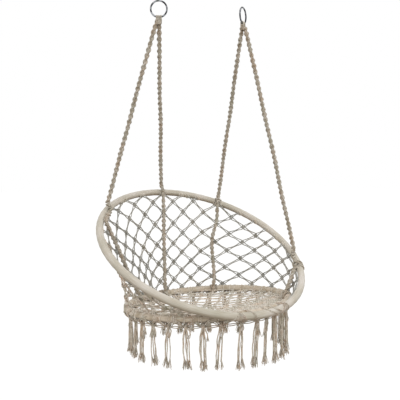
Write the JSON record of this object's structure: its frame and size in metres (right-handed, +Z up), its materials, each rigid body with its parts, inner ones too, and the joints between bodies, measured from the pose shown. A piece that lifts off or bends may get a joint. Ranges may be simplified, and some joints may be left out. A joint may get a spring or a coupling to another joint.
{
  "type": "hammock chair",
  "caption": "Hanging hammock chair: two sleeved steel hoops with knotted cotton nets, braided ropes on steel rings and a tassel fringe.",
  "frame": {"origin": "top of the left hanging ring's eye, where the first hook carries the chair", "axes": "+Z up, -Y the front of the seat where the two hoops are lashed together, +X to the right as seen from the front"},
  "size_m": [0.7999, 0.72, 1.3169],
  "materials": {
    "ring_steel": "polished round wire, welded closed",
    "tube_steel": "satin powder coat, hidden in the sleeves",
    "rope_cotton": "matt unbleached cotton, braided of thick plied cords",
    "sleeve_cotton": "smooth cotton cover drawn tight over the tube, with wrapped cord along it",
    "net_cotton": "matt two-ply twisted cotton cord, tied in square knots",
    "fringe_cotton": "loose cotton cords with frayed ends"
  },
  "bodies": {
    "hanging_rings": {"left_hanging_ring": "ring_steel", "right_hanging_ring": "ring_steel"},
    "back_frame": {"left_rope_head": "rope_cotton", "right_rope_head": "rope_cotton", "left_side_rope": "rope_cotton", "left_side_hoop_tie": "rope_cotton", "left_side_drop_rope": "rope_cotton", "left_rear_rope": "rope_cotton", "left_rear_hoop_tie": "rope_cotton", "left_rear_drop_rope": "rope_cotton", "right_rear_rope": "rope_cotton", "right_rear_hoop_tie": "rope_cotton", "right_rear_drop_rope": "rope_cotton", "right_side_rope": "rope_cotton", "right_side_hoop_tie": "rope_cotton", "right_side_drop_rope": "rope_cotton", "back_hoop_tube": "tube_steel", "back_hoop_sleeve": "sleeve_cotton", "back_net": "net_cotton", "front_lashing": "rope_cotton"},
    "seat_frame": {"left_side_seat_tie": "rope_cotton", "left_rear_seat_tie": "rope_cotton", "right_rear_seat_tie": "rope_cotton", "right_side_seat_tie": "rope_cotton", "seat_hoop_tube": "tube_steel", "seat_hoop_sleeve": "sleeve_cotton", "seat_net": "net_cotton", "fringe_band": "fringe_cotton", "tassel_01": "fringe_cotton", "tassel_02": "fringe_cotton", "tassel_03": "fringe_cotton", "tassel_04": "fringe_cotton", "tassel_05": "fringe_cotton", "tassel_06": "fringe_cotton", "tassel_07": "fringe_cotton", "tassel_08": "fringe_cotton", "tassel_09": "fringe_cotton", "tassel_10": "fringe_cotton", "tassel_11": "fringe_cotton", "tassel_12": "fringe_cotton", "tassel_13": "fringe_cotton", "tassel_14": "fringe_cotton", "tassel_15": "fringe_cotton", "tassel_16": "fringe_cotton", "tassel_17": "fringe_cotton", "tassel_18": "fringe_cotton", "tassel_19": "fringe_cotton", "tassel_20": "fringe_cotton", "tassel_21": "fringe_cotton", "tassel_22": "fringe_cotton", "tassel_23": "fringe_cotton", "tassel_24": "fringe_cotton", "tassel_25": "fringe_cotton", "tassel_26": "fringe_cotton", "tassel_27": "fringe_cotton", "tassel_28": "fringe_cotton", "tassel_29": "fringe_cotton", "tassel_30": "fringe_cotton"}
  },
  "joints": [
    {"name": "chair_swing", "type": "hinge", "parent": "hanging_rings", "child": "back_frame", "pos_m": [0, 0, -0.055], "axis": [0.9311, -0.3649, 0], "range_deg": [-30, 30], "deforming": ["left_rope_head", "right_rope_head"]},
    {"name": "seat_fold", "type": "hinge", "parent": "back_frame", "child": "seat_frame", "pos_m": [0.148, -0.3814, -1.0631], "axis": [1, 0, 0], "range_deg": [0, 32], "deforming": ["back_net", "left_side_drop_rope", "left_rear_drop_rope", "right_rear_drop_rope", "right_side_drop_rope", "front_lashing"]}
  ]
}
